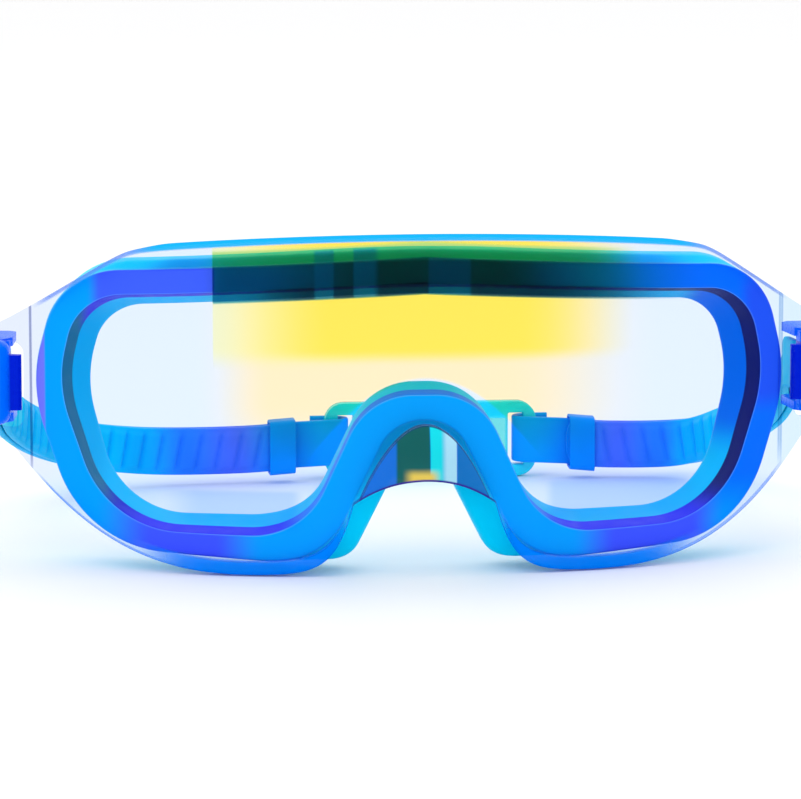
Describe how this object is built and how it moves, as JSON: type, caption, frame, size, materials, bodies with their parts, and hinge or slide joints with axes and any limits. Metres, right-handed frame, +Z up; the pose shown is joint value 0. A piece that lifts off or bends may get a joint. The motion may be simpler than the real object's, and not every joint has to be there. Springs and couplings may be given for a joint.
{
  "type": "sports protective goggles",
  "caption": "One-lens swim mask with a clear shell, silicone face skirt, swivelling side clips, two-part strap and rear clasp.",
  "frame": {"origin": "middle of the footprint, on the surface that the mask and its rear clasp stand on", "axes": "+Z up, -Y the way the lens faces, +X to the right when the mask is seen from the front"},
  "size_m": [0.1848, 0.1386, 0.0684],
  "materials": {
    "clear_shell": "clear polycarbonate with a blue to gold mirror coating",
    "skirt_silicone": "smooth translucent silicone",
    "clip_plastic": "satin moulded plastic",
    "pin_steel": "drawn stainless pin",
    "strap_silicone": "ribbed silicone",
    "clasp_plastic": "translucent aqua moulded plastic"
  },
  "bodies": {
    "mask": {"front_shell": "clear_shell", "face_skirt": "skirt_silicone"},
    "right_side": {"right_clip_body": "clip_plastic", "right_lever_pin": "pin_steel", "right_strap": "strap_silicone", "right_keeper": "strap_silicone", "clasp_plug": "clasp_plastic"},
    "left_side": {"left_clip_body": "clip_plastic", "left_lever_pin": "pin_steel", "left_strap": "strap_silicone", "left_keeper": "strap_silicone", "clasp_socket": "clasp_plastic"},
    "right_lever": {"right_release_lever": "clip_plastic"},
    "left_lever": {"left_release_lever": "clip_plastic"}
  },
  "joints": [
    {"name": "right_clip_swivel", "type": "hinge", "parent": "mask", "child": "right_side", "pos_m": [0.0864, -0.03447, 0.03635], "axis": [0, 0, -1], "range_deg": [0, 30]},
    {"name": "left_clip_swivel", "type": "hinge", "parent": "mask", "child": "left_side", "pos_m": [-0.0864, -0.03447, 0.03635], "axis": [0, 0, 1], "range_deg": [0, 30]},
    {"name": "right_lever_press", "type": "hinge", "parent": "right_side", "child": "right_lever", "pos_m": [0.09022, -0.02771, 0.03635], "axis": [0, 0, -1], "range_deg": [0, 7], "stiffness_Nm_per_rad": 0.02, "springref_deg": -4.58},
    {"name": "left_lever_press", "type": "hinge", "parent": "left_side", "child": "left_lever", "pos_m": [-0.09022, -0.02771, 0.03635], "axis": [0, 0, 1], "range_deg": [0, 7], "stiffness_Nm_per_rad": 0.02, "springref_deg": -4.58}
  ]
}
